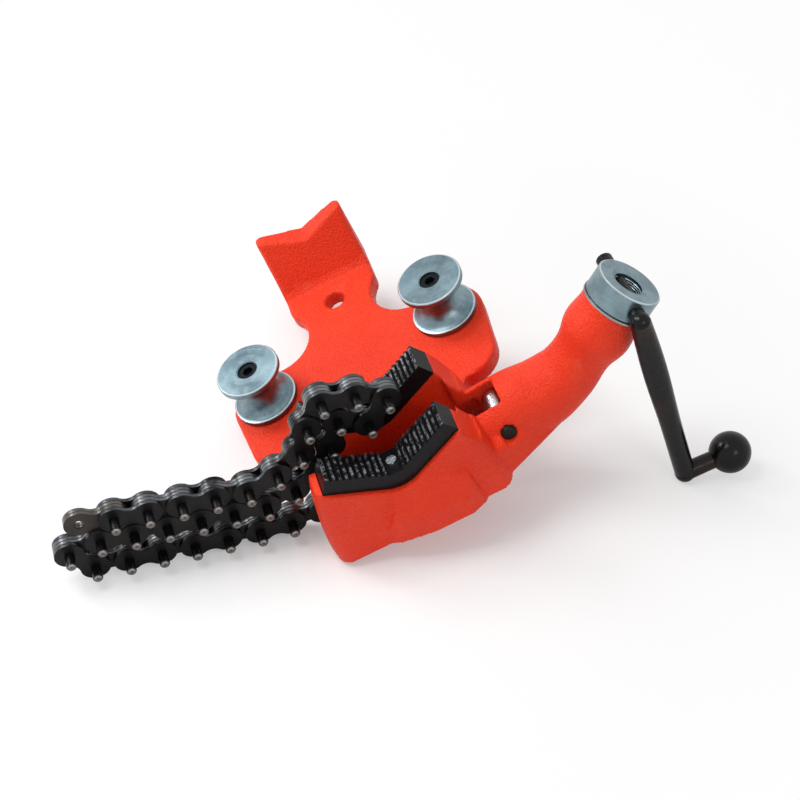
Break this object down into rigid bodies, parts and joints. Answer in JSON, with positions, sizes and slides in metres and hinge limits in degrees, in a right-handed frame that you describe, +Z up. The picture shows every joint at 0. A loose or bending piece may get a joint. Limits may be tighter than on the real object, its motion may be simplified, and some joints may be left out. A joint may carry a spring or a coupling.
{
  "type": "top-screw bench chain pipe vise",
  "caption": "Bench chain pipe vise with V jaws, pipe rest, two bending rollers, a screw tower with a swivelling crank and a folded leaf chain.",
  "frame": {"origin": "on the floor under the middle of the footprint, with the vise laid down as in the picture", "axes": "+X towards the screw tower across the vise, +Y to the back along the pipe, +Z up"},
  "size_m": [0.5502, 0.3154, 0.2025],
  "materials": {
    "casting": "satin",
    "jaw_steel": "satin",
    "zinc": "satin",
    "bolt_black": "satin",
    "polished_steel": "polished",
    "pin_steel": "satin",
    "bare_steel": "satin",
    "chain_outer": "satin",
    "chain_inner": "satin",
    "chain_end": "satin",
    "crank_black": "gloss"
  },
  "bodies": {
    "frame": {"base_casting": "casting", "front_jaw": "jaw_steel", "rear_jaw": "jaw_steel", "jaw_screws": "zinc", "left_roller_bolt": "bolt_black", "right_roller_bolt": "bolt_black", "guide_pin": "pin_steel", "thrust_washer": "bare_steel", "chain_link_01": "chain_inner", "chain_link_02": "chain_outer", "chain_link_03": "chain_inner", "chain_link_04": "chain_outer", "chain_link_05": "chain_inner", "chain_link_06": "chain_outer", "chain_link_07": "chain_inner", "chain_link_08": "chain_outer", "chain_link_09": "chain_inner", "chain_link_10": "chain_outer", "chain_link_11": "chain_inner", "chain_link_12": "chain_outer", "chain_link_13": "chain_inner", "chain_link_14": "chain_outer", "chain_link_15": "chain_inner", "chain_link_16": "chain_outer", "chain_link_17": "chain_inner", "chain_link_18": "chain_outer", "chain_link_19": "chain_inner", "chain_link_20": "chain_outer", "chain_link_21": "chain_inner", "chain_link_22": "chain_outer", "chain_link_23": "chain_inner", "chain_link_24": "chain_outer", "chain_link_25": "chain_inner", "chain_link_26": "chain_outer", "chain_link_27": "chain_inner", "chain_link_28": "chain_outer", "chain_link_29": "chain_inner", "chain_link_30": "chain_outer"},
    "left_roller": {"left_roller": "zinc"},
    "right_roller": {"right_roller": "zinc"},
    "guide_roller": {"guide_roller": "polished_steel"},
    "screw": {"screw_head": "zinc", "chain_screw": "bare_steel"},
    "anchor": {"chain_anchor": "bare_steel"},
    "crank": {"crank_handle": "crank_black"},
    "chain_link_31": {"chain_link_31": "chain_inner"},
    "chain_link_32": {"chain_link_32": "chain_outer"},
    "chain_link_33": {"chain_link_33": "chain_inner"},
    "chain_link_34": {"chain_link_34": "chain_outer"},
    "chain_link_35": {"chain_link_35": "chain_inner"},
    "chain_link_36": {"chain_link_36": "chain_outer"},
    "chain_link_37": {"chain_link_37": "chain_inner"},
    "chain_link_38": {"chain_link_38": "chain_outer"},
    "chain_link_39": {"chain_link_39": "chain_end"}
  },
  "joints": [
    {"name": "left_roller_turn", "type": "hinge", "parent": "frame", "child": "left_roller", "pos_m": [-0.0909, 0.02075, 0.0437], "axis": [-0.3619, 0, 0.9322], "continuous": true},
    {"name": "right_roller_turn", "type": "hinge", "parent": "frame", "child": "right_roller", "pos_m": [0.06087, 0.02075, 0.10262], "axis": [-0.3619, 0, 0.9322], "continuous": true},
    {"name": "guide_roller_turn", "type": "hinge", "parent": "frame", "child": "guide_roller", "pos_m": [0.07214, -0.09925, 0.08769], "axis": [0, 1, 0], "continuous": true},
    {"name": "screw_turn", "type": "hinge", "parent": "frame", "child": "screw", "pos_m": [0.16552, -0.09925, 0.18177], "axis": [0.4769, 0, 0.879], "range_deg": [-130, 100]},
    {"name": "anchor_slide", "type": "slide", "parent": "frame", "child": "anchor", "axis": [0.4769, 0, 0.879], "range_m": [-0.00121, 0.00154]},
    {"name": "crank_swing", "type": "hinge", "parent": "screw", "child": "crank", "pos_m": [0.16552, -0.09925, 0.18177], "axis": [0, -1, 0], "range_deg": [-5, 180]},
    {"name": "chain_link_31_lift", "type": "hinge", "parent": "frame", "child": "chain_link_31", "pos_m": [-0.06653, -0.09925, 0.13486], "axis": [0, 1, 0], "range_deg": [0, 20]},
    {"name": "chain_link_32_lift", "type": "hinge", "parent": "chain_link_31", "child": "chain_link_32", "pos_m": [-0.07817, -0.09925, 0.11228], "axis": [0, 1, 0], "range_deg": [0, 20]},
    {"name": "chain_link_33_lift", "type": "hinge", "parent": "chain_link_32", "child": "chain_link_33", "pos_m": [-0.08401, -0.09925, 0.08756], "axis": [0, 1, 0], "range_deg": [0, 20]},
    {"name": "chain_link_34_lift", "type": "hinge", "parent": "chain_link_33", "child": "chain_link_34", "pos_m": [-0.10237, -0.09925, 0.07001], "axis": [0, 1, 0], "range_deg": [0, 20]},
    {"name": "chain_link_35_lift", "type": "hinge", "parent": "chain_link_34", "child": "chain_link_35", "pos_m": [-0.12525, -0.09925, 0.05898], "axis": [0, 1, 0], "range_deg": [0, 20]},
    {"name": "chain_link_36_lift", "type": "hinge", "parent": "chain_link_35", "child": "chain_link_36", "pos_m": [-0.15065, -0.09925, 0.05911], "axis": [0, 1, 0], "range_deg": [0, 20]},
    {"name": "chain_link_37_lift", "type": "hinge", "parent": "chain_link_36", "child": "chain_link_37", "pos_m": [-0.17605, -0.09925, 0.0591], "axis": [0, 1, 0], "range_deg": [0, 20]},
    {"name": "chain_link_38_lift", "type": "hinge", "parent": "chain_link_37", "child": "chain_link_38", "pos_m": [-0.20145, -0.09925, 0.05909], "axis": [0, 1, 0], "range_deg": [0, 20]},
    {"name": "chain_link_39_lift", "type": "hinge", "parent": "chain_link_38", "child": "chain_link_39", "pos_m": [-0.22685, -0.09925, 0.05908], "axis": [0, 1, 0], "range_deg": [0, 20]}
  ],
  "couplings": [
    {"joint": "anchor_slide", "follows": "screw_turn", "m_per_rad": -0.00063662}
  ]
}
